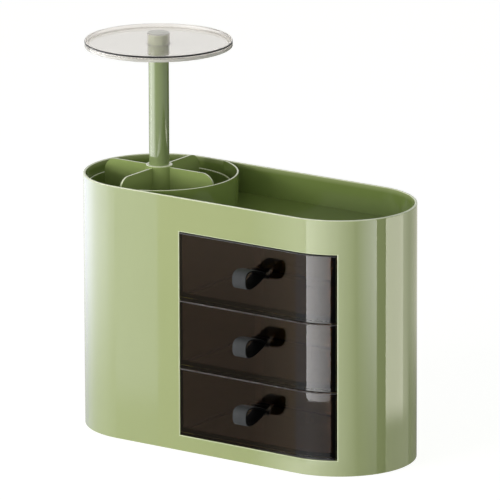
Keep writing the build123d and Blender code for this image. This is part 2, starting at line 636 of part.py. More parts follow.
def make_pull(index):
    """Makes one loop pull.

    Each half of the strap leaves the root at PULL_OPEN degrees, bends level and turns back in a
    half circle, so the two halves meet at the slot and end in a bead behind the anchor plate.
    """
    slot_z = drawer_low(index) + (PITCH - FRONT_GAP) / 2 + PULL_RISE
    turn = PULL_REACH - PULL_HALF
    rise = (cos(radians(PULL_OPEN)), sin(radians(PULL_OPEN)))
    tail = FRONT_T + ANCHOR_T + BEAD_R
    side = Plane(origin=(PULL_X - PULL_W / 2, -END_R, slot_z), x_dir=(0, -1, 0), z_dir=(1, 0, 0))
    with BuildPart() as pull:
        with BuildSketch(side):
            with BuildLine():
                Line((0, -PULL_T), (0, PULL_T))
                Spline((0, PULL_T), (turn, PULL_HALF), tangents=(rise, (1, 0)))
                ThreePointArc((turn, PULL_HALF), (PULL_REACH, 0), (turn, -PULL_HALF))
                Spline((turn, -PULL_HALF), (0, -PULL_T), tangents=((-1, 0), (-rise[0], rise[1])))
            make_face()
            with BuildLine():
                Spline((PULL_ROOT, 0), (turn, PULL_HALF - PULL_T), tangents=(rise, (1, 0)))
                ThreePointArc((turn, PULL_HALF - PULL_T), (PULL_REACH - PULL_T, 0),
                              (turn, PULL_T - PULL_HALF))
                Spline((turn, PULL_T - PULL_HALF), (PULL_ROOT, 0), tangents=((-1, 0), (-rise[0], rise[1])))
            make_face(mode=Mode.SUBTRACT)
            with Locations((-FRONT_T - ANCHOR_T, 0)):
                Rectangle(FRONT_T + ANCHOR_T + PULL_ROOT / 2, 2 * PULL_T, align=(Align.MIN, Align.CENTER))
        extrude(amount=PULL_W)
        with BuildSketch(side.offset((PULL_W - BEAD_W) / 2)):
            with Locations((-tail, 0)):
                Rectangle(tail, 2 * PULL_T, align=(Align.MIN, Align.CENTER))
                Circle(BEAD_R)
        extrude(amount=BEAD_W)
    return pull.part


def make_anchor(index):
    """Makes the slotted plate behind a drawer front that the strap's bead locks against."""
    slot_z = drawer_low(index) + (PITCH - FRONT_GAP) / 2 + PULL_RISE
    with BuildPart() as anchor:
        with BuildSketch(Plane.XZ.offset(END_R - FRONT_T)):
            with Locations((PULL_X, slot_z)):
                RectangleRounded(ANCHOR_W, ANCHOR_H, ANCHOR_ROUND)
                Rectangle(PULL_W + 2 * SLOT_GAP, 2 * PULL_T + 2 * SLOT_GAP, mode=Mode.SUBTRACT)
        extrude(amount=-ANCHOR_T)
    return anchor.part


for number, level in enumerate(("bottom", "middle", "top")):
    save(make_drawer(number), "drawer_" + level)
    save(make_pull(number), "pull_" + level)
    save(make_anchor(number), "anchor_" + level)
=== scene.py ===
"""Looks of the makeup organizer: finishes, strap pulls, studio and camera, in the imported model's frame.

Sizes are in millimetres unless a docstring says metres, and become metres when a mesh or a material is
made. X runs along the body, the drawers open towards -Y and Z is up. An azimuth is in degrees from the
front, positive to the right.
"""

import logging
import math
from dataclasses import dataclass, field
from enum import Enum
from typing import Any

import bmesh
import bpy
import numpy as np
from mathutils import Matrix, Vector

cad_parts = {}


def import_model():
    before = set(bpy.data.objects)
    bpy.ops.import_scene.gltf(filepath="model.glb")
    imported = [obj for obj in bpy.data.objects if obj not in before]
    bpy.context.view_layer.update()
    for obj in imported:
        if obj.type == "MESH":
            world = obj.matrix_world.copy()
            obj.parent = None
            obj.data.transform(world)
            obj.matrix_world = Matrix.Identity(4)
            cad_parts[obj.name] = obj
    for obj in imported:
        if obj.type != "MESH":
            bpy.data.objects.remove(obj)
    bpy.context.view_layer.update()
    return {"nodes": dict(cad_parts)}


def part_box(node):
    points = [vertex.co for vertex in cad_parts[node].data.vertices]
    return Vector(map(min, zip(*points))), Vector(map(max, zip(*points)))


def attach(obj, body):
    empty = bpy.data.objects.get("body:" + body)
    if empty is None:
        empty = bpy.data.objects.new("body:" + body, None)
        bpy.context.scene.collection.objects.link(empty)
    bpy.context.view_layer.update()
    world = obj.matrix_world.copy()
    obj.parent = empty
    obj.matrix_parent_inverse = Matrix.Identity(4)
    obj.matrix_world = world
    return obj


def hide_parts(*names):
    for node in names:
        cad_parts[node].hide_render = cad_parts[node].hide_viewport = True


LOG = logging.getLogger("organizer")
MM = 0.001
Pair = tuple[float, float]
Triple = tuple[float, float, float]
Colour = Triple
Socket = bpy.types.NodeSocket
Value = Socket | float
Pieces = dict[str, bpy.types.Object]


class Level(Enum):
    """Levels of the drawers."""

    TOP = "top"
    MIDDLE = "middle"
    BOTTOM = "bottom"


class Body(Enum):
    """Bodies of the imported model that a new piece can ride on."""

    UPPER = "upper_drawer"
    CENTRE = "centre_drawer"
    LOWER = "lower_drawer"


class Slot(Enum):
    """Material slots of the record that a new piece can belong to."""

    STRAP = "black_strap"


class Mark(Enum):
    """Values kept at each point of a mesh for its material to read."""

    LINING = "lining"
    LIGHT = "light"


class Ray(Enum):
    """Kinds of ray that a material or the world can tell apart."""

    CAMERA = "Is Camera Ray"
    GLOSSY = "Is Glossy Ray"
    THROUGH = "Is Transmission Ray"
    SHADOW = "Is Shadow Ray"


class Maths(Enum):
    """Ways to join or change values in a shader tree."""

    PLUS = "ADD"
    LESS = "SUBTRACT"
    TIMES = "MULTIPLY"
    MOST = "MAXIMUM"
    ROOT = "SQRT"
    SIZE = "ABSOLUTE"


SHOWING_RAYS = (Ray.CAMERA, Ray.GLOSSY, Ray.THROUGH)


def linear(red: int, green: int, blue: int) -> Colour:
    """Turns a screen colour of 0 to 255 into linear light of 0 to 1, by the curve of standard screens."""
    level = np.array([red, green, blue], float) / 255.0
    return tuple(np.where(level <= 0.04045, level / 12.92, ((level + 0.055) / 1.055) ** 2.4).tolist())


@dataclass(frozen=True)
class Grain:
    """Noise pattern with about so many cells to the metre, times the stretch of each axis."""

    cells: float
    detail: float
    stretch: Triple = (1.0, 1.0, 1.0)


class Nodes:
    """Adds and joins the nodes of one shader tree."""

    def __init__(self, tree: bpy.types.NodeTree) -> None:
        """Empties the tree of a material or of the world."""
        self.tree = tree
        tree.nodes.clear()

    def add(self, kind: str, inputs: dict[str | int, Any] | None = None, **settings: Any) -> bpy.types.Node:
        """Adds a node.

        Args:
            kind: node type.
            inputs: value or joined socket for each named or numbered input.
            settings: properties of the node itself.

        Returns:
            The new node.
        """
        node = self.tree.nodes.new(kind)
        for key, value in settings.items():
            setattr(node, key, value)
        for key, value in (inputs or {}).items():
            if isinstance(value, Socket):
                self.tree.links.new(value, node.inputs[key])
            else:
                node.inputs[key].default_value = value
        return node

    def output(self, surface: bpy.types.Node, volume: bpy.types.Node | None = None) -> None:
        """Ends a material's tree.

        Args:
            surface: shader of the surface.
            volume: shader of the inside.
        """
        shaders = {"Surface": surface.outputs[0]}
        if volume is not None:
            shaders["Volume"] = volume.outputs[0]
        self.add("ShaderNodeOutputMaterial", shaders)

    def split(self, vector: Socket) -> tuple[Socket, Socket, Socket]:
        """Gives the x, y and z of a vector."""
        parts = self.add("ShaderNodeSeparateXYZ", {0: vector}).outputs
        return parts["X"], parts["Y"], parts["Z"]

    def axes(self) -> tuple[Socket, Socket, Socket]:
        """Gives the x, y and z of Object coordinates in metres."""
        return self.split(self.add("ShaderNodeTexCoord").outputs["Object"])

    def place(self, stretch: Triple = (1.0, 1.0, 1.0)) -> Socket:
        """Gives Object coordinates in metres, times the stretch of each axis."""
        where = self.add("ShaderNodeTexCoord").outputs["Object"]
        return self.add("ShaderNodeMapping", {"Vector": where, "Scale": stretch}).outputs["Vector"]

    def noise(self, grain: Grain) -> Socket:
        """Gives a noise value of 0 to 1."""
        return self.add("ShaderNodeTexNoise", {"Vector": self.place(grain.stretch), "Scale": grain.cells,
                                               "Detail": grain.detail}).outputs[0]

    def spread(self, value: Socket, band: Pair, ends: Pair = (0.0, 1.0)) -> Socket:
        """Maps a value in the band to the ends, held there outside the band."""
        return self.add("ShaderNodeMapRange", {"Value": value, "From Min": band[0], "From Max": band[1],
                                               "To Min": ends[0], "To Max": ends[1]}).outputs["Result"]

    def step(self, length: Socket, start: float, end: float, ends: Pair = (0.0, 1.0)) -> Socket:
        """Maps a length in metres, from start to end in millimetres, to the ends, held there outside."""
        return self.spread(length, (start * MM, end * MM), ends)

    def join(self, way: Maths, first: Value, second: Value = 0.0) -> Socket:
        """Joins two values, or changes the first one alone."""
        return self.add("ShaderNodeMath", {0: first, 1: second}, operation=way.value).outputs[0]

    def distance(self, first: Socket, second: Socket) -> Socket:
        """Gives the root of the sum of two squares."""
        squares = [self.join(Maths.TIMES, value, value) for value in (first, second)]
        return self.join(Maths.ROOT, self.join(Maths.PLUS, *squares))

    def blend(self, factor: Socket, low: Colour | Socket, high: Colour | Socket) -> Socket:
        """Mixes two colours by a value of 0 to 1."""
        first, second = (c if isinstance(c, Socket) else (*c, 1.0) for c in (low, high))
        return self.add("ShaderNodeMix", {0: factor, 6: first, 7: second}, data_type="RGBA").outputs[2]

    def bump(self, height: Socket, relief: Pair) -> Socket:
        """Gives normals roughened by a height of 0 to 1, with relief the strength and the depth."""
        return self.add("ShaderNodeBump", {"Height": height, "Strength": relief[0],
                                           "Distance": relief[1] * MM}).outputs["Normal"]

    def seen(self, *rays: Ray) -> Socket:
        """Tells some kinds of ray from all others.

        Args:
            rays: the kinds.

        Returns:
            1 for any of these rays, and 0 for the others.
        """
        path = self.add("ShaderNodeLightPath")
        value = path.outputs[rays[0].value]
        for ray in rays[1:]:
            value = self.join(Maths.MOST, value, path.outputs[ray.value])
        return value

    def mark(self, mark: Mark) -> Socket:
        """Gives a value kept at the points of the mesh."""
        return self.add("ShaderNodeAttribute", attribute_name=mark.value).outputs["Fac"]


@dataclass(frozen=True)
class Plan:
    """Stadium plan of the body: radius of the ends, their axes at plus and minus reach, and the rim.

    fronts holds the (x, z) of the lower left and upper right corners of the three drawers together.
    """

    end_r: float
    reach: float
    rim: float
    fronts: tuple[Pair, Pair]

    @classmethod
    def from_frame(cls) -> "Plan":
        """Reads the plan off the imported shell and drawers.

        Returns:
            The plan.
        """
        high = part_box("body_shell")[1] / MM
        first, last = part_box("drawer_bottom")[0] / MM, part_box("drawer_top")[1] / MM
        return cls(high.y, high.x - high.y, high.z, ((first.x, first.z), (last.x, last.z)))


@dataclass(frozen=True)
class Finish:
    """One surface finish. A subclass wires its nodes."""

    name: str
    tone: Colour

    def material(self) -> bpy.types.Material:
        """Makes the finish's material on first use.

        Returns:
            The material.
        """
        found = bpy.data.materials.get(self.name)
        if found is None:
            found = bpy.data.materials.new(self.name)
            found.use_nodes = True
            self.wire(Nodes(found.node_tree))
        return found

    def wire(self, nodes: Nodes) -> None:
        """Wires the shader into an empty tree."""
        raise NotImplementedError

    def dress(self, piece: bpy.types.Object) -> None:
        """Puts the material on every slot of a piece, and on a first slot where it has none.

        Args:
            piece: CAD node or new piece.
        """
        if not piece.material_slots:
            piece.data.materials.append(self.material())
        for slot in piece.material_slots:
            slot.link = "OBJECT"
            slot.material = self.material()


@dataclass(frozen=True)
class TwoTone(Finish):
    """Finish whose colour drifts between two tones."""

    tone_two: Colour
    drift: Grain = Grain(14.0, 3.0)

    def colour(self, nodes: Nodes) -> Socket:
        """Gives the drifting colour, which changes over about 70 mm unless a finish says otherwise."""
        return nodes.blend(nodes.noise(self.drift), self.tone, self.tone_two)


@dataclass(frozen=True, kw_only=True)
class MouldedGloss(TwoTone):
    """Glossy moulded plastic: even colour with faint flow shading, a fine ripple and hairline marks."""

    ior: float = 1.5
    gloss: float = 0.02
    smudge: Grain = Grain(35.0, 3.0)
    smudge_band: Pair = (0.4, 0.75)
    smudge_haze: float = 0.02
    hair: Grain = Grain(60.0, 4.0, (6.0, 6.0, 60.0))
    hair_band: Pair = (0.62, 0.78)
    hair_haze: float = 0.03
    ripple: Grain = Grain(260.0, 1.0)
    ripple_relief: Pair = (0.05, 0.1)

    def wire(self, nodes: Nodes) -> None:
        """The ripple repeats every 4 mm, smudges are 30 mm wide and level hairlines of 3 mm add haze.

        Args:
            nodes: empty tree.
        """
        hazy = self.gloss, self.gloss + self.smudge_haze
        smudges = nodes.spread(nodes.noise(self.smudge), self.smudge_band, hazy)
        hairs = nodes.spread(nodes.noise(self.hair), self.hair_band, (0.0, self.hair_haze))
        shader = nodes.add("ShaderNodeBsdfPrincipled", {
            "Base Color": self.colour(nodes), "IOR": self.ior,
            "Roughness": nodes.join(Maths.PLUS, smudges, hairs),
            "Normal": nodes.bump(nodes.noise(self.ripple), self.ripple_relief)})
        nodes.output(shader)


@dataclass(frozen=True, kw_only=True)
class ShellGloss(MouldedGloss):
    """Gloss of the body shell, with painted shade deepening its inner side and painted highlights on its rim
    and the window's edge.

    gap is the room round the drawers, sideways and up, that makes the window. rim is the rounding of the
    rim and of the window's edge and the width of their painted highlights, and fade is how far below the
    rim the painted shade of the inside gets its full depth.
    """

    painted_shade: Colour
    pale: Colour
    painted_edge_tone: Colour
    plan: Plan
    gap: Pair = (0.6, 0.35)
    wall: float = 2.2
    wall_soft: float = 0.3
    fade: float = 5.0
    rim: float = 0.8
    edge_start: Pair = (0.1, 0.3)
    edge_soft: float = 0.1
    slant: float = 0.6

    def at_window(self, nodes: Nodes) -> Socket:
        """Finds the window's rounded edge, which takes a painted highlight, where the way out of the window
        is less than its rounding.

        The way out is max(left - x, (x - right) slant, foot - z, z - head), on the front wall alone. The
        slant widens the edge on the right end, where the wall turns away.

        Args:
            nodes: tree of the material.

        Returns:
            1 on the edge and 0 elsewhere.
        """
        x, y, z = nodes.axes()
        (left, foot), (right, head) = self.plan.fronts
        side, level = self.gap
        out = nodes.join(Maths.TIMES, nodes.join(Maths.LESS, x, (right + side) * MM), self.slant)
        for first, second in (((left - side) * MM, x), ((foot - level) * MM, z), (z, (head + level) * MM)):
            out = nodes.join(Maths.MOST, out, nodes.join(Maths.LESS, first, second))
        start = nodes.step(out, *self.edge_start)
        stop = nodes.step(out, self.rim + self.edge_soft, self.rim - self.edge_soft)
        front = nodes.step(y, -self.plan.end_r / 3, -self.plan.end_r / 2)
        return nodes.join(Maths.TIMES, front, nodes.join(Maths.TIMES, start, stop))

    def colour(self, nodes: Nodes) -> Socket:
        """The rim and the window's edge get painted highlights, and the inside, hypot(max(|x| - reach, 0), y)
        < middle of the wall, gets painted shade.

        Args:
            nodes: tree of the material.

        Returns:
            The colour.
        """
        x, y, z = nodes.axes()
        past = nodes.join(Maths.MOST, nodes.join(Maths.LESS, nodes.join(Maths.SIZE, x), self.plan.reach * MM))
        middle = self.plan.end_r - self.wall / 2
        inside = nodes.step(nodes.distance(past, y), middle + self.wall_soft, middle - self.wall_soft)
        below = nodes.step(z, self.plan.rim, self.plan.rim - self.fade)
        skin = nodes.blend(self.at_window(nodes), super().colour(nodes), self.painted_edge_tone)
        wall = nodes.blend(nodes.join(Maths.TIMES, inside, below), skin, self.painted_shade)
        top = nodes.step(z, self.plan.rim - self.rim, self.plan.rim - self.rim / 2)
        return nodes.blend(top, wall, self.pale)


@dataclass(frozen=True, kw_only=True)
class InnerGloss(MouldedGloss):
    """Gloss of the parts inside the body, darkened by painted shade, with painted highlights on upper edges
    above a height.
    """

    pale: Colour
    edges_from: float
    edges_soft: float = 0.5
    upward: Pair = (0.3, 0.8)

    def colour(self, nodes: Nodes) -> Socket:
        """The painted highlight goes on edges, surfaces that face up above the height, which leaves the
        floors out.

        Args:
            nodes: tree of the material.

        Returns:
            The colour.
        """
        up = nodes.split(nodes.add("ShaderNodeNewGeometry").outputs["Normal"])[2]
        high = nodes.step(nodes.axes()[2], self.edges_from - self.edges_soft, self.edges_from)
        edge = nodes.join(Maths.TIMES, nodes.spread(up, self.upward), high)
        return nodes.blend(edge, super().colour(nodes), self.pale)


@dataclass(frozen=True, kw_only=True)
class TintedClear(TwoTone):
    """Clear moulded plastic with its tint in the body of the material, faint smudges and a slow ripple.

    milk is the share of light that is scattered instead of let through, and density is to the metre.
    """

    absorb: Colour
    density: float
    milk: float = 0.0
    ior: float = 1.49
    open_to_lamps: float = 0.9
    gloss: float = 0.02
    smudge: Grain = Grain(28.0, 4.0)
    smudge_band: Pair = (0.5, 0.8)
    smudge_haze: float = 0.05
    ripple: Grain = Grain(90.0, 1.0)
    ripple_relief: Pair = (0.015, 0.2)

    def clearness(self, nodes: Nodes) -> Value:
        """Gives the share of light that is let through."""
        return 1.0 - self.milk

    def roughness(self, nodes: Nodes) -> Socket:
        """Gives the roughness, raised by smudges 35 mm wide."""
        return nodes.spread(nodes.noise(self.smudge), self.smudge_band,
                            (self.gloss, self.gloss + self.smudge_haze))

    def wire(self, nodes: Nodes) -> None:
        """Light is taken up by depth, and rays from the lamps pass straight through.

        Args:
            nodes: empty tree.
        """
        clear = nodes.add("ShaderNodeBsdfPrincipled", {
            "Base Color": self.colour(nodes), "Roughness": self.roughness(nodes), "IOR": self.ior,
            "Transmission Weight": self.clearness(nodes),
            "Normal": nodes.bump(nodes.noise(self.ripple), self.ripple_relief)})
        passing = nodes.add("ShaderNodeBsdfTransparent", {"Color": (*[self.open_to_lamps] * 3, 1.0)})
        surface = nodes.add("ShaderNodeMixShader", {0: nodes.seen(Ray.SHADOW), 1: clear.outputs[0],
                                                    2: passing.outputs[0]})
        depth = nodes.add("ShaderNodeVolumeAbsorption", {"Color": (*self.absorb, 1.0),
                                                         "Density": self.density})
        nodes.output(surface, depth)


@dataclass(frozen=True, kw_only=True)
class DrawerClear(TintedClear):
    """Clear plastic of one drawer, with painted shade along the front's foot and right end, and along an
    upper edge of height head.

    low and high are the corners of the drawer's box. foot and head are the heights of the painted shade
    along the lower and upper edges, side and front bound the painted shade on the right end, and the upper
    edge, rim, is a little rough.
    """

    low: Triple
    high: Triple
    head: float
    painted_edge_tone: Colour = (0.005, 0.004, 0.003)
    edge_soft: float = 0.15
    foot: float = 1.9
    side: float = 3.2
    front: float = 11.5
    rim: float = 1.2
    rim_rough: float = 0.3

    def beyond(self, nodes: Nodes, value: Socket, edge: float, way: float) -> Socket:
        """Gives 1 where value is past edge, upwards for a way of 1 and downwards for -1."""
        return nodes.step(value, edge - self.edge_soft * way, edge + self.edge_soft * way)

    def colour(self, nodes: Nodes) -> Socket:
        """Painted shade darkens the front's foot, its right end and the head.

        Args:
            nodes: tree of the material.

        Returns:
            The colour.
        """
        x, y, z = nodes.axes()
        right = nodes.join(Maths.TIMES, self.beyond(nodes, x, self.high[0] - self.side, 1.0),
                           self.beyond(nodes, y, self.low[1] + self.front, -1.0))
        foot = self.beyond(nodes, z, self.low[2] + self.foot, -1.0)
        head = self.beyond(nodes, z, self.high[2] - self.head, 1.0)
        dark = nodes.join(Maths.MOST, head, nodes.join(Maths.MOST, foot, right))
        return nodes.blend(dark, super().colour(nodes), self.painted_edge_tone)

    def roughness(self, nodes: Nodes) -> Socket:
        """Gives the roughness, raised on the upper edge."""
        top = self.beyond(nodes, nodes.axes()[2], self.high[2] - self.rim, 1.0)
        return nodes.join(Maths.MOST, super().roughness(nodes), nodes.join(Maths.TIMES, top, self.rim_rough))


@dataclass(frozen=True, kw_only=True)
class TrayClear(TintedClear):
    """Clear plastic of the display tray: a faintly milky floor and a dark line painted at its outer edge, in
    place of the shade that inner reflection gives there.

    axis_x, rim_r and rim_z are the tray's axis, its outer radius and the height of its rim. edge is how
    far the painted dark line reaches inwards and down, floor is the floor's inner and outer radius, lip is
    the clear height of the lip, and lip_rough is the roughness of the lip's inner and outer side.
    """

    painted_edge_tone: Colour
    lip_tone: Colour
    axis_x: float
    rim_r: float
    rim_z: float
    edge: Pair = (0.45, 1.55)
    edge_soft: float = 0.1
    edge_veil: float = 0.97
    floor: Pair = (12.0, 59.0)
    floor_soft: float = 1.0
    socket_milk: float = 0.2
    lip: float = 3.0
    foot_soft: float = 0.5
    foot_milk: float = 0.6
    lip_rough: Pair = (0.4, 0.1)
    lip_soft: float = 0.2

    def radius(self, nodes: Nodes) -> Socket:
        """Gives the distance from the tray's axis in metres."""
        x, y, _ = nodes.axes()
        return nodes.distance(nodes.join(Maths.LESS, x, self.axis_x * MM), y)

    def at_edge(self, nodes: Nodes) -> Socket:
        """Finds the outer skin, which takes the painted dark line, where the radius and the height are both
        within the lip's corner and the surface is seen from outside.

        Args:
            nodes: tree of the material.

        Returns:
            1 on that skin and 0 elsewhere.
        """
        ends = self.rim_r - self.edge[0], self.rim_z - self.edge[1]
        near = [nodes.step(value, end - self.edge_soft, end + self.edge_soft)
                for value, end in zip((self.radius(nodes), nodes.axes()[2]), ends)]
        outside = nodes.join(Maths.LESS, 1.0, nodes.add("ShaderNodeNewGeometry").outputs["Backfacing"])
        return nodes.join(Maths.TIMES, nodes.join(Maths.TIMES, *near), outside)

    def on_lip(self, nodes: Nodes) -> Socket:
        """Gives 1 outside the floor."""
        return nodes.step(self.radius(nodes), self.floor[1], self.floor[1] + self.floor_soft)

    def colour(self, nodes: Nodes) -> Socket:
        """Gives the colour, a little deeper on the lip, with the painted dark line at its outer edge."""
        clear = nodes.blend(self.on_lip(nodes), super().colour(nodes), self.lip_tone)
        return nodes.blend(self.at_edge(nodes), clear, self.painted_edge_tone)

    def roughness(self, nodes: Nodes) -> Socket:
        """The lip is rougher than the floor, and more so on its inner side.

        Args:
            nodes: tree of the material.

        Returns:
            The roughness.
        """
        skin = self.rim_r - self.edge[0]
        side = nodes.step(self.radius(nodes), skin - self.lip_soft, skin, self.lip_rough)
        lip = nodes.join(Maths.TIMES, self.on_lip(nodes), side)
        return nodes.join(Maths.MOST, super().roughness(nodes), lip)

    def clearness(self, nodes: Nodes) -> Socket:
        """The socket, the floor and the foot of the lip are milky, and the painted dark edge is nearly
        opaque.

        Args:
            nodes: tree of the material.

        Returns:
            The share of light that is let through.
        """
        inner, foot = self.floor[0], self.rim_z - self.lip
        milk = nodes.step(self.radius(nodes), inner - self.floor_soft, inner, (self.socket_milk, self.milk))
        lip = self.on_lip(nodes)
        low = nodes.step(nodes.axes()[2], foot, foot + self.foot_soft, (self.foot_milk, 0.0))
        veil = nodes.join(Maths.TIMES, milk, nodes.join(Maths.LESS, 1.0, lip))
        rest = nodes.join(Maths.TIMES, low, lip)
        edge = nodes.join(Maths.TIMES, self.at_edge(nodes), self.edge_veil)
        return nodes.join(Maths.LESS, 1.0, nodes.join(Maths.MOST, nodes.join(Maths.PLUS, veil, rest), edge))


@dataclass(frozen=True, kw_only=True)
class SatinStrap(TwoTone):
    """Satin coated strap with a fine pebbled grain, paler rubbed spots and a nearly black inner face."""

    lining: Colour
    drift: Grain = Grain(170.0, 3.0)
    rub_band: Pair = (0.45, 0.75)
    pebbles: float = 1900.0
    pebble_band: Pair = (0.0, 0.6)
    pebble_relief: Pair = (0.2, 0.12)
    rough: Pair = (0.44, 0.58)
    shine: float = 0.06

    def colour(self, nodes: Nodes) -> Socket:
        """Gives the second tone on rubbed spots 6 mm wide, and the first tone elsewhere."""
        rub = nodes.spread(nodes.noise(self.drift), self.rub_band)
        return nodes.blend(rub, self.tone, self.tone_two)

    def wire(self, nodes: Nodes) -> None:
        """The pebbles are cells of 0.5 mm, and the strap's nearly black inner face is marked on its points.

        Args:
            nodes: empty tree.
        """
        cells = nodes.add("ShaderNodeTexVoronoi", {"Vector": nodes.place(), "Scale": self.pebbles})
        pebble = cells.outputs["Distance"]
        shader = nodes.add("ShaderNodeBsdfPrincipled", {
            "Base Color": nodes.blend(nodes.mark(Mark.LINING), self.colour(nodes), self.lining),
            "Roughness": nodes.spread(pebble, self.pebble_band, self.rough),
            "Specular IOR Level": self.shine,
            "Normal": nodes.bump(pebble, self.pebble_relief)})
        nodes.output(shader)


@dataclass(frozen=True, kw_only=True)
class PlatedSteel(TwoTone):
    """Zinc-plated steel of small screws, with cloudy plating and fine turning marks."""

    drift: Grain = Grain(400.0, 3.0)
    rings: Grain = Grain(300.0, 2.0, (1.0, 1.0, 12.0))
    ring_band: Pair = (0.3, 0.7)
    ring_relief: Pair = (0.1, 0.05)
    rough: Pair = (0.22, 0.4)

    def wire(self, nodes: Nodes) -> None:
        """The turning marks are fine rings across Z.

        Args:
            nodes: empty tree.
        """
        rings = nodes.noise(self.rings)
        shader = nodes.add("ShaderNodeBsdfPrincipled", {
            "Base Color": self.colour(nodes), "Metallic": 1.0,
            "Roughness": nodes.spread(rings, self.ring_band, self.rough),
            "Normal": nodes.bump(rings, self.ring_relief)})
        nodes.output(shader)


@dataclass(frozen=True, kw_only=True)
class MouldedMatte(TwoTone):
    """Matte moulded plastic of the glide ring and the anchor plates."""

    grain: Grain = Grain(1500.0, 2.0)
    grain_band: Pair = (0.3, 0.7)
    grain_relief: Pair = (0.12, 0.06)
    rough: Pair = (0.4, 0.55)

    def wire(self, nodes: Nodes) -> None:
        """A slow drift of tone and a fine spark-eroded grain.

        Args:
            nodes: empty tree.
        """
        grain = nodes.noise(self.grain)
        shader = nodes.add("ShaderNodeBsdfPrincipled", {
            "Base Color": self.colour(nodes), "Roughness": nodes.spread(grain, self.grain_band, self.rough),
            "Normal": nodes.bump(grain, self.grain_relief)})
        nodes.output(shader)


@dataclass(frozen=True)
class PanelGlow(Finish):
    """Glow of the studio's light panels, whose strength is read off the points of each panel."""

    def wire(self, nodes: Nodes) -> None:
        """Wires an emission of the tone."""
        strength = nodes.mark(Mark.LIGHT)
        nodes.output(nodes.add("ShaderNodeEmission", {"Color": (*self.tone, 1.0), "Strength": strength}))


@dataclass(frozen=True)
class PalePaper(Finish):
    """Pale studio floor, white to the camera, that keeps a soft shadow of the object."""

    shown_tone: Colour
    glow: float

    def wire(self, nodes: Nodes) -> None:
        """The glow reaches only the rays that show the floor, so it puts no light on the object.

        Args:
            nodes: empty tree.
        """
        shown = nodes.seen(*SHOWING_RAYS)
        matte = nodes.add("ShaderNodeBsdfDiffuse", {"Color": nodes.blend(shown, self.tone, self.shown_tone)})
        glow = nodes.add("ShaderNodeEmission", {"Strength": nodes.join(Maths.TIMES, shown, self.glow)})
        nodes.output(nodes.add("ShaderNodeAddShader", {0: matte.outputs[0], 1: glow.outputs[0]}))


SAGE_TONES = (linear(172, 181, 132), linear(169, 178, 128))
# Painted shade: a darker copy of the body's sage for the shell's inside and the inner parts.
SAGE_PAINTED_SHADE = (linear(126, 143, 80), linear(122, 139, 76))
# Painted highlights: a pale sage for the rims and upper edges, and another for the window's rounded edge.
SAGE_PAINTED_HIGHLIGHT = linear(240, 244, 216)
SAGE_PAINTED_WINDOW_EDGE = linear(218, 225, 188)
# Painted shade: the vanes' sage, between the body's and the inner parts'.
VANE_PAINTED_SHADE_TONES = (linear(152, 168, 104), linear(148, 164, 100))
SMOKE_TONES = (linear(236, 224, 212), linear(228, 214, 200))
SMOKE_TINT = {"absorb": linear(160, 112, 80), "density": 300.0}
TRAY_TONES = (linear(238, 234, 229), linear(234, 230, 225))
# The tray's near black edge tone is a dark line painted at its outer edge.
TRAY_TINT = {"absorb": linear(200, 192, 178), "density": 5.0, "milk": 0.19,
             "painted_edge_tone": linear(6, 6, 5), "lip_tone": linear(237, 233, 228)}
SAGE = MouldedGloss("sage_gloss", *SAGE_TONES)
# Painted shade: the post's sage, darker than the body's same plastic.
POST_PAINTED_SHADE = MouldedGloss("post_gloss", linear(134, 148, 100), linear(131, 145, 97))
DENSE = MouldedMatte("smoke_dense", linear(9, 8, 7), linear(14, 12, 11))
STRAP = SatinStrap("strap_satin", linear(67, 68, 70), linear(73, 74, 76), lining=linear(3, 3, 3))
STEEL = PlatedSteel("plated_steel", linear(190, 190, 188), linear(160, 160, 160))
WAXY = MouldedMatte("waxy_white", linear(232, 231, 226), linear(222, 221, 214))
GLOW = PanelGlow("panel_glow", (1.0, 1.0, 1.0))
COOL = PanelGlow("panel_cool", (0.93, 0.93, 1.2))
WARM = PanelGlow("panel_warm", (1.0, 0.97, 0.86))
TAN = PanelGlow("panel_tan", (1.0, 0.84, 0.62))
PAPER = PalePaper("floor_pale", (0.6, 0.6, 0.6), (0.35, 0.35, 0.35), 0.875)
EDGE_DROP = 23.5
TRAY_RIM = 5.3


@dataclass(frozen=True)
class FittedFinishes:
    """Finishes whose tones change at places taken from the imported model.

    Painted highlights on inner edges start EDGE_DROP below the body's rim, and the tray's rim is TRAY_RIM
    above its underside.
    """

    shell: ShellGloss
    inner: InnerGloss
    vanes: InnerGloss
    tray: TrayClear

    @classmethod
    def from_frame(cls, plan: Plan) -> "FittedFinishes":
        """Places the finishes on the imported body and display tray.

        Args:
            plan: the body's plan.

        Returns:
            The finishes.
        """
        low, high = (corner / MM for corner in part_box("display_tray"))
        edges = {"pale": SAGE_PAINTED_HIGHLIGHT, "edges_from": plan.rim - EDGE_DROP}
        shell = ShellGloss("shell_gloss", *SAGE_TONES, painted_shade=SAGE_PAINTED_SHADE[0], pale=SAGE_PAINTED_HIGHLIGHT,
                           painted_edge_tone=SAGE_PAINTED_WINDOW_EDGE, plan=plan)
        tray = TrayClear("tray_clear", *TRAY_TONES, **TRAY_TINT, axis_x=(low.x + high.x) / 2,
                         rim_r=(high.x - low.x) / 2, rim_z=low.z + TRAY_RIM)
        return cls(shell, InnerGloss("inner_gloss", *SAGE_PAINTED_SHADE, **edges),
                   InnerGloss("vane_gloss", *VANE_PAINTED_SHADE_TONES, **edges), tray)


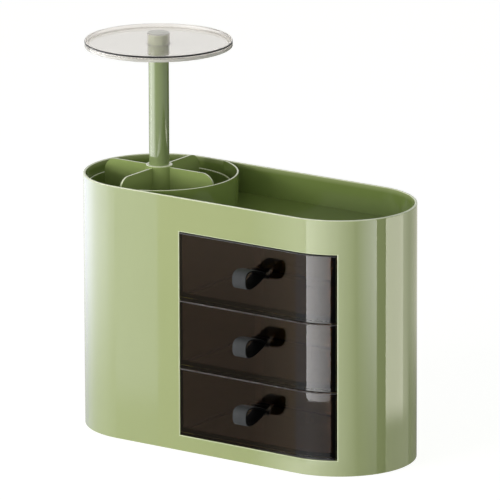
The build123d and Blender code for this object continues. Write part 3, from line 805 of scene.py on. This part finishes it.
@dataclass
class Skin:
    """Points, faces and a value at each point, gathered from grids into one mesh."""

    points: list[np.ndarray] = field(default_factory=list)
    faces: list[np.ndarray] = field(default_factory=list)
    values: list[np.ndarray] = field(default_factory=list)
    count: int = 0

    def add_grid(self, grid: np.ndarray, values: np.ndarray | None = None,
                 close_columns: bool = False) -> None:
        """Adds a surface given on a grid.

        Args:
            grid: points, rows by columns by 3.
            values: a value for each point, rows by columns.
            close_columns: joins the last column to the first.
        """
        rows, columns = grid.shape[:2]
        index = np.arange(rows * columns).reshape(rows, columns) + self.count
        if close_columns:
            index = np.hstack([index, index[:, :1]])
        quads = np.stack([index[:-1, :-1], index[:-1, 1:], index[1:, 1:], index[1:, :-1]], axis=-1)
        self.points.append(grid.reshape(-1, 3))
        self.faces.append(quads.reshape(-1, 4))
        self.values.append(np.zeros(rows * columns) if values is None else values.ravel())
        self.count += rows * columns

    def mesh(self, name: str, mark: Mark | None = None, weld: float = 0.002,
             flat: float = 0.00001) -> bpy.types.Mesh:
        """Makes the mesh, welds its seams and turns its faces outwards.

        Args:
            name: name of the mesh.
            mark: name under which the points keep their values.
            weld: distance within which points are one.
            flat: length below which an edge is dissolved.

        Returns:
            A smooth mesh in metres.
        """
        points = np.concatenate(self.points).astype(np.float32) * MM
        quads = np.concatenate(self.faces).astype(np.int32)
        made = bpy.data.meshes.new(name)
        made.vertices.add(len(points))
        made.vertices.foreach_set("co", points.ravel())
        made.loops.add(quads.size)
        made.loops.foreach_set("vertex_index", quads.ravel())
        made.polygons.add(len(quads))
        made.polygons.foreach_set("loop_start", np.arange(0, quads.size, 4, dtype=np.int32))
        made.polygons.foreach_set("loop_total", np.full(len(quads), 4, np.int32))
        made.update(calc_edges=True)
        if mark is not None:
            kept = made.attributes.new(mark.value, "FLOAT", "POINT")
            kept.data.foreach_set("value", np.concatenate(self.values).astype(np.float32))
        shell = bmesh.new()
        shell.from_mesh(made)
        bmesh.ops.remove_doubles(shell, verts=shell.verts, dist=weld * MM)
        bmesh.ops.dissolve_degenerate(shell, dist=flat * MM, edges=shell.edges)
        bmesh.ops.recalc_face_normals(shell, faces=shell.faces)
        shell.to_mesh(made)
        shell.free()
        made.polygons.foreach_set("use_smooth", np.ones(len(made.polygons), bool))
        made.update()
        return made


def dress_nodes(nodes: Pieces, finishes: dict[Finish, tuple[str, ...]]) -> None:
    """Puts finishes on the CAD nodes that stay, and reports each.

    Args:
        nodes: CAD nodes by name.
        finishes: the names of the nodes that each finish is for.
    """
    for finish, names in finishes.items():
        for name in names:
            finish.dress(nodes[name])
            LOG.info("node %s: %s", name, finish.name)


def add_stage(name: str, mesh: bpy.types.Mesh, finish: Finish) -> bpy.types.Object:
    """Puts a mesh into the scene as part of the studio.

    Args:
        name: name of the thing.
        mesh: its mesh, in place.
        finish: its finish.

    Returns:
        The new object.
    """
    thing = bpy.data.objects.new(name, mesh)
    bpy.context.scene.collection.objects.link(thing)
    finish.dress(thing)
    return thing


@dataclass
class StrapPull:
    """Loop pull of one drawer: a strap that leaves the front, swells into a loop and comes back.

    reach and half are the loop's length and half its height. The strap leaves the front at open_deg,
    square is the power of its superellipse, inside is the length of each end behind the front, and edge
    is the radius of its rounded edges.
    """

    level: Level
    body: Body
    x: float
    middle_z: float
    front_y: float
    width: float
    reach: float
    half: float
    thick: float = 1.3
    open_deg: float = 28.0
    square: float = 2.6
    inside: float = 4.0
    edge: float = 0.5

    @classmethod
    def from_frame(cls, level: Level, body: Body) -> "StrapPull":
        """Reads the strap's place and size off its plain solid and its drawer.

        Args:
            level: the drawer's level.
            body: body that the strap rides on.

        Returns:
            The strap, not yet built.
        """
        low, high = (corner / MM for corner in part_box("pull_" + level.value))
        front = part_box("drawer_" + level.value)[0].y / MM
        middle, size = (low + high) / 2, high - low
        return cls(level, body, middle.x, middle.z, front, size.x, front - low.y, size.z / 2)

    def line(self, steps: int = 40) -> np.ndarray:
        """Works out the strap's middle line in the plane of the loop.

        From the front outwards it is a cubic with the two end slopes (Hermite), then half of a
        superellipse, |u|^n + |v|^n = 1 with n the square field, and the lower half mirrors the upper one.

        Args:
            steps: points on each part.

        Returns:
            Points as (outwards, up), from the upper end round to the lower end.
        """
        turn = self.reach - self.half
        bend = self.half - self.thick / 2
        t = np.linspace(0.0, 1.0, steps)[:, None]
        start, stop = np.array([0.0, self.thick / 2]), np.array([turn, bend])
        chord = np.linalg.norm(stop - start)
        rise = math.radians(self.open_deg)
        slope, level = chord * np.array([math.cos(rise), math.sin(rise)]), chord * np.array([1.0, 0.0])
        upper = ((2 * t ** 3 - 3 * t ** 2 + 1) * start + (t ** 3 - 2 * t ** 2 + t) * slope
                 + (3 * t ** 2 - 2 * t ** 3) * stop + (t ** 3 - t ** 2) * level)
        a = np.linspace(math.pi / 2, -math.pi / 2, steps)[1:-1, None]
        round_a = np.hstack([np.cos(a), np.sin(a)])
        nose = np.array([turn, 0.0]) + bend * np.sign(round_a) * np.abs(round_a) ** (2 / self.square)
        tail = np.array([[-self.inside, self.thick / 2], [-self.inside / 2, self.thick / 2]])
        half = np.vstack([tail, upper])
        return np.vstack([half, nose, half[::-1] * [1.0, -1.0]])

    def section(self, corner: int = 5) -> np.ndarray:
        """Works out the strap's cross-section, a flat rectangle with a quarter circle at each corner.

        Args:
            corner: points on each corner's quarter circle.

        Returns:
            Closed loop of (across, outwards) points.
        """
        quarter = np.linspace(0.0, math.pi / 2, corner)
        angles = np.concatenate([quarter + k * math.pi / 2 for k in range(4)])
        x_sign = np.repeat([1.0, -1.0, -1.0, 1.0], corner)
        n_sign = np.repeat([1.0, 1.0, -1.0, -1.0], corner)
        across = x_sign * (self.width / 2 - self.edge) + self.edge * np.cos(angles)
        outwards = n_sign * (self.thick / 2 - self.edge) + self.edge * np.sin(angles)
        return np.stack([across, outwards], axis=1)

    def mesh(self) -> bpy.types.Mesh:
        """Carries the section along the line, with its width along X, and closes both ends.

        A point is the line's point plus the section's outwards part along the line's normal, and the
        section's points below the outer face are marked as the inner face.

        Returns:
            The strap's mesh, in place.
        """
        line = self.line()
        along = np.gradient(line, axis=0)
        along /= np.linalg.norm(along, axis=1, keepdims=True)
        normal = np.stack([-along[:, 1], along[:, 0]], axis=1)
        loop = self.section()
        flat = line[:, None, :] + loop[None, :, 1, None] * normal[:, None, :]
        grid = np.empty((len(line), len(loop), 3))
        grid[:, :, 0] = self.x + loop[None, :, 0]
        grid[:, :, 1] = self.front_y - flat[:, :, 0]
        grid[:, :, 2] = self.middle_z + flat[:, :, 1]
        face = self.thick / 2 - self.edge / 2
        lining = np.broadcast_to(loop[:, 1] < face, grid.shape[:2]).astype(float)
        skin = Skin()
        skin.add_grid(grid, lining, close_columns=True)
        for end in (grid[0], grid[-1]):
            skin.add_grid(np.stack([end, np.broadcast_to(end.mean(0), end.shape)]), close_columns=True)
        return skin.mesh("strap_pull_" + self.level.value, Mark.LINING)

    def build(self) -> None:
        """Puts the strap into the scene, on its drawer and in place of its plain solid."""
        mesh = self.mesh()
        piece = bpy.data.objects.new(mesh.name, mesh)
        bpy.context.scene.collection.objects.link(piece)
        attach(piece, self.body.value)
        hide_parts("pull_" + self.level.value)
        STRAP.dress(piece)
        LOG.info("piece %s: %d faces on %s", piece.name, len(mesh.polygons), self.body.value)


def direction(azimuth: float, elevation: float) -> Vector:
    """Gives the unit vector from the object towards an azimuth and elevation in degrees."""
    a, e = math.radians(azimuth), math.radians(elevation)
    return Vector((math.sin(a) * math.cos(e), -math.cos(a) * math.cos(e), math.sin(e)))


@dataclass(frozen=True)
class SoftLamp:
    """Wide soft lamp aimed at the object's middle, kept out of the picture and of reflections.

    distance and size are in metres.
    """

    name: str
    azimuth: float
    elevation: float
    distance: float
    watts: float
    size: Pair

    def build(self, middle: float) -> None:
        """Adds the lamp.

        Args:
            middle: height in metres that the lamp is aimed at.
        """
        data = bpy.data.lights.new(self.name, "AREA")
        data.shape = "RECTANGLE"
        data.size, data.size_y = self.size
        data.energy = self.watts
        back = direction(self.azimuth, self.elevation)
        lamp = bpy.data.objects.new(self.name, data)
        lamp.location = Vector((0.0, 0.0, middle)) + back * self.distance
        lamp.rotation_mode = "QUATERNION"
        lamp.rotation_quaternion = back.to_track_quat("Z", "Y")
        lamp.visible_camera = lamp.visible_glossy = False
        bpy.context.scene.collection.objects.link(lamp)


@dataclass(frozen=True)
class LightPanel:
    """Upright panel that only reflections show, standing where a wall mirrors it to the camera.

    A place on a wall is the x of its axis and its turn in degrees from the front. The panel runs from
    one place to another, with a light at each, and has the foot lights below the foot heights. Its upper
    edge can rise by a bow towards both sides.
    """

    name: str
    axis: Pair
    turn: Pair
    light: Pair
    foot_light: Pair
    foot: Pair = (20.0, 60.0)
    heights: Pair = (-30.0, 225.0)
    away: float = 600.0
    bow: float = 0.0
    glow: Finish = GLOW
    columns: int = 33
    rows: int = 41

    def build(self, eye: Vector, wall_r: float) -> None:
        """Makes the panel.

        A point is the wall's point plus away times the mirrored direction, whose azimuth is twice the
        wall's turn less the eye's azimuth there and which falls as the line from the eye falls. The top
        rises by bow (1 - (1 - s^4)^(1/4)), s from -1 to 1, and the light rises as 3 r^2 - 2 r^3.

        Args:
            eye: the camera's place.
            wall_r: radius of the wall.
        """
        share = np.linspace(0.0, 1.0, self.columns)
        axis, turn = (np.interp(share, (0.0, 1.0), pair) for pair in (self.axis, self.turn))
        light, low = (np.interp(share, (0.0, 1.0), pair) for pair in (self.light, self.foot_light))
        wall = np.radians(turn)
        x, y = axis + wall_r * np.sin(wall), -wall_r * np.cos(wall)
        mirror = 2 * wall - np.arctan2(eye.x - x, y - eye.y)
        top = self.heights[1] + self.bow * (1.0 - (1.0 - (2 * share - 1) ** 4) ** 0.25)
        height = self.heights[0] + np.linspace(0.0, 1.0, self.rows)[:, None] * (top - self.heights[0])
        rise = np.clip((height - self.foot[0]) / (self.foot[1] - self.foot[0]), 0.0, 1.0)
        rise = rise * rise * (3 - 2 * rise)
        grid = np.empty((len(height), len(share), 3))
        grid[:, :, 0] = x + self.away * np.sin(mirror)
        grid[:, :, 1] = y - self.away * np.cos(mirror)
        grid[:, :, 2] = height - self.away * (eye.z - height) / np.hypot(eye.x - x, eye.y - y)
        skin = Skin()
        skin.add_grid(grid, low + (light - low) * rise)
        panel = add_stage(self.name, skin.mesh(self.name, Mark.LIGHT), self.glow)
        panel.visible_camera = panel.visible_shadow = panel.visible_volume_scatter = False
        panel.visible_transmission = panel.visible_diffuse = False


@dataclass
class Studio:
    """Floor, lights, surroundings and camera.

    distance, target, clip and floor_half are in metres. The world's fill runs from its first value at
    level to its second one at the end of fill_band, where 1 is straight up. window_inset is how far the
    panels of the window end inside the drawers' foot and head, strip_high is the height of a strip's
    lower end, and front_places are the x of the changes of light on the flat front.
    """

    plan: Plan
    azimuth: float = 35.24
    elevation: float = 14.61
    distance: float = 6.350
    focal_px: float = 7488.92
    frame_px: float = 500.0
    sensor: float = 36.0
    clip: Pair = (0.1, 100.0)
    roll: float = -0.18
    target: Triple = (0.00099, 0.0, 0.16592)
    fill: Pair = (1.2, 0.2)
    fill_band: Pair = (0.0, 0.7)
    fill_tone: Colour = (0.95, 1.0, 0.90)
    key: SoftLamp = SoftLamp("key", -18.0, 8.0, 1.7, 16.8, (1.0, 0.6))
    floor_half: float = 30.0
    front_places: Pair = (-48.6, 50.0)
    window_inset: Pair = (0.35, 0.25)
    strip_high: float = 50.0
    post_heights: Pair = (236.0, 345.0)
    flag_away: float = 590.0
    strip_away: float = 595.0

    def body_panels(self) -> list[LightPanel]:
        """Lists the panels that the body mirrors, from left to right. Flags stand before the others.

        Returns:
            The panels, not yet built.
        """
        reach = self.plan.reach
        left, flat, right = (-reach, -reach), (0.0, 0.0), (reach, reach)
        dark, sweep = self.front_places
        # Heights between which a panel's foot light becomes its full light.
        low, sill, end, head, back = (0.0, 200.0), (8.0, 15.0), (35.0, 61.0), (110.0, 190.0), (30.0, 150.0)
        foot, top = (corner[1] for corner in self.plan.fronts)
        window = foot + self.window_inset[0], top - self.window_inset[1]
        flag = {"heights": window, "away": self.flag_away}
        lit = {"heights": window, "away": self.strip_away}
        low_end = {"heights": (window[0], window[0] + self.strip_high), "away": self.flag_away}
        return [
            LightPanel("left_edge", left, (-57.0, -44.0), (0.0, 1.8), (0.4, 0.8), low),
            LightPanel("left_rim", left, (-44.0, -28.0), (1.8, 4.0), (0.8, 1.3), low, glow=COOL),
            LightPanel("left_soft", left, (-28.0, -9.0), (4.0, 3.4), (1.2, 1.0), low, glow=COOL),
            LightPanel("left_turn", left, (-9.0, 0.0), (3.4, 1.6), (1.0, 0.6), low, glow=COOL),
            LightPanel("left_card", (-reach, dark), flat, (1.5, 1.15), (0.4, 0.3), glow=COOL),
            LightPanel("front_dark", (dark, sweep), flat, (0.5, 0.5), (0.3, 0.3), head, glow=TAN),
            LightPanel("front_sweep", (sweep, reach), flat, (0.4, 2.1), (0.25, 3.6), sill),
            LightPanel("turn_sweep", right, (0.0, 9.0), (2.1, 2.4), (3.6, 3.9), sill),
            LightPanel("sweep_flag", (sweep, reach), flat, (0.5, 0.7), (0.3, 0.7), head, glow=TAN, **flag),
            LightPanel("turn_flag", right, (0.0, 9.0), (0.7, 0.8), (0.7, 0.8), **flag),
            LightPanel("front_strip", right, (9.0, 47.0), (5.4, 0.5), (3.9, 0.6), sill),
            LightPanel("window_strip", right, (9.0, 27.6), (7.6, 2.6), (7.6, 2.6), **lit),
            LightPanel("strip_end", right, (9.0, 27.6), (0.9, 0.6), (0.9, 0.6), bow=6.0, **low_end),
            LightPanel("strip_flag", right, (27.6, 32.8), (0.05, 0.05), (0.05, 0.05), **flag),
            LightPanel("right_strip", right, (47.0, 62.8), (0.6, 5.2), (0.3, 1.0), low),
            LightPanel("right_gap", right, (62.8, 70.7), (0.02, 0.02), (0.02, 0.02)),
            LightPanel("edge_strip", right, (70.7, 89.0), (6.0, 4.3), (1.4, 1.2), end, glow=WARM),
            LightPanel("edge_fall", right, (89.0, 97.0), (2.5, 1.0), (1.1, 0.9), end, glow=WARM),
            LightPanel("edge_back", right, (97.0, 130.0), (1.05, 0.6), (0.4, 0.15), back, glow=WARM),
        ]

    def post_panels(self) -> list[LightPanel]:
        """Lists the panels that the post mirrors, each with the same light from foot to top.

        Returns:
            The panels, not yet built.
        """
        axis = (-self.plan.reach,) * 2
        even = (
            ("post_light", (-28.0, 4.0), (4.2, 7.8), LightPanel.away),
            ("post_line", (-12.0, -8.5), (10.6, 10.6), self.flag_away),
            ("post_fall", (4.0, 17.0), (7.8, 1.5), LightPanel.away),
            ("post_edge", (94.0, 128.0), (0.03, 0.03), LightPanel.away),
        )
        return [LightPanel(name, axis, turn, light, light, heights=self.post_heights, away=away)
                for name, turn, light, away in even]

    def camera(self) -> None:
        """Makes the camera at the fitted place and sets it as the scene's own."""
        data = bpy.data.cameras.new("camera")
        data.sensor_width = self.sensor
        data.lens = self.focal_px / self.frame_px * self.sensor
        data.clip_start, data.clip_end = self.clip
        back = direction(self.azimuth, self.elevation)
        a = math.radians(self.azimuth)
        right = Vector((math.cos(a), math.sin(a), 0.0))
        up = back.cross(right)
        r = math.radians(self.roll)
        right, up = right * math.cos(r) + up * math.sin(r), up * math.cos(r) - right * math.sin(r)
        place = Matrix((right, up, back)).transposed().to_4x4()
        place.translation = Vector(self.target) + back * self.distance
        camera = bpy.data.objects.new("camera", data)
        camera.matrix_world = place
        bpy.context.scene.collection.objects.link(camera)
        bpy.context.scene.camera = camera

    def world(self) -> None:
        """White wherever it shows, and an even fill, stronger from the sides than from above, as light."""
        world = bpy.data.worlds.new("studio")
        world.use_nodes = True
        nodes = Nodes(world.node_tree)
        up = nodes.split(nodes.add("ShaderNodeTexCoord").outputs["Generated"])[2]
        strength = nodes.spread(up, self.fill_band, self.fill)
        fill = nodes.add("ShaderNodeBackground", {"Color": (*self.fill_tone, 1.0), "Strength": strength})
        white = nodes.add("ShaderNodeBackground", {"Color": (1.0, 1.0, 1.0, 1.0), "Strength": 1.0})
        shown = nodes.seen(*SHOWING_RAYS)
        both = nodes.add("ShaderNodeMixShader", {0: shown, 1: fill.outputs[0], 2: white.outputs[0]})
        nodes.add("ShaderNodeOutputWorld", {"Surface": both.outputs[0]})
        bpy.context.scene.world = world

    def floor(self) -> None:
        """Lays a wide pale floor, left out of reflections, where the panels stand."""
        side = np.array([-1.0, 1.0]) * self.floor_half / MM
        grid = np.stack([*np.meshgrid(side, side), np.zeros((2, 2))], axis=-1)
        skin = Skin()
        skin.add_grid(grid)
        mesh = skin.mesh("floor")
        if mesh.polygons[0].normal.z < 0:
            mesh.flip_normals()
        add_stage("floor", mesh, PAPER).visible_glossy = False

    def build(self) -> None:
        """Makes the whole studio."""
        bpy.context.scene.view_settings.view_transform = "Standard"
        self.camera()
        self.world()
        self.floor()
        self.key.build(self.plan.rim * MM / 2)
        eye = bpy.context.scene.camera.location / MM
        post_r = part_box("carousel_post")[1].y / MM
        for panels, wall_r in ((self.body_panels(), self.plan.end_r), (self.post_panels(), post_r)):
            for panel in panels:
                panel.build(eye, wall_r)
        LOG.info("studio ready")


@dataclass
class Housing:
    """Standing part: shell, deck, panels, shelf, base and their screws."""

    finishes: FittedFinishes
    shell: tuple[str, ...] = ("body_shell",)
    inner: tuple[str, ...] = ("top_deck", "well_shelf", "bay_panel_left", "bay_panel_right")
    plastic: tuple[str, ...] = ("base_plate",)
    steel: tuple[str, ...] = ("base_screws", "shelf_screws", "pivot_screw", "pivot_washer")
    waxy: tuple[str, ...] = ("glide_ring",)

    def dress(self, nodes: Pieces) -> None:
        """Puts the finishes on the CAD nodes."""
        dress_nodes(nodes, {self.finishes.shell: self.shell, self.finishes.inner: self.inner,
                            SAGE: self.plastic, STEEL: self.steel, WAXY: self.waxy})


@dataclass
class Carousel:
    """Turning part: cup, divider, post and display tray."""

    finishes: FittedFinishes
    inner: tuple[str, ...] = ("carousel_cup",)
    vanes: tuple[str, ...] = ("carousel_divider",)
    post: tuple[str, ...] = ("carousel_post",)
    clear: tuple[str, ...] = ("display_tray",)

    def dress(self, nodes: Pieces) -> None:
        """Puts the finishes on the CAD nodes."""
        dress_nodes(nodes, {self.finishes.inner: self.inner, self.finishes.vanes: self.vanes,
                            POST_PAINTED_SHADE: self.post, self.finishes.tray: self.clear})


@dataclass
class Drawer:
    """One drawer: clear box with painted shade on an upper edge of height head, anchor plate and strap pull.
    """

    level: Level
    body: Body
    head: float = 0.0

    def build(self, nodes: Pieces) -> None:
        """Dresses the box and its plate and makes the pull.

        Args:
            nodes: CAD nodes by name.
        """
        level = self.level.value
        low, high = (tuple(corner / MM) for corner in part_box("drawer_" + level))
        smoke = DrawerClear("smoke_" + level, *SMOKE_TONES, **SMOKE_TINT, low=low, high=high, head=self.head)
        dress_nodes(nodes, {smoke: ("drawer_" + level,), DENSE: ("anchor_" + level,)})
        StrapPull.from_frame(self.level, self.body).build()


def main() -> None:
    """Loads the frame and builds every sub-assembly and the studio."""
    logging.basicConfig(level=logging.INFO, format="%(name)s: %(message)s")
    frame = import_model()
    nodes, plan = frame["nodes"], Plan.from_frame()
    finishes = FittedFinishes.from_frame(plan)
    Housing(finishes).dress(nodes)
    Carousel(finishes).dress(nodes)
    # Only the top drawer gets painted shade along its upper edge, where the window's head shades it.
    for drawer in (Drawer(Level.BOTTOM, Body.LOWER), Drawer(Level.MIDDLE, Body.CENTRE),
                   Drawer(Level.TOP, Body.UPPER, head=1.2)):
        drawer.build(nodes)
    Studio(plan).build()


if __name__ == "__main__":
    main()
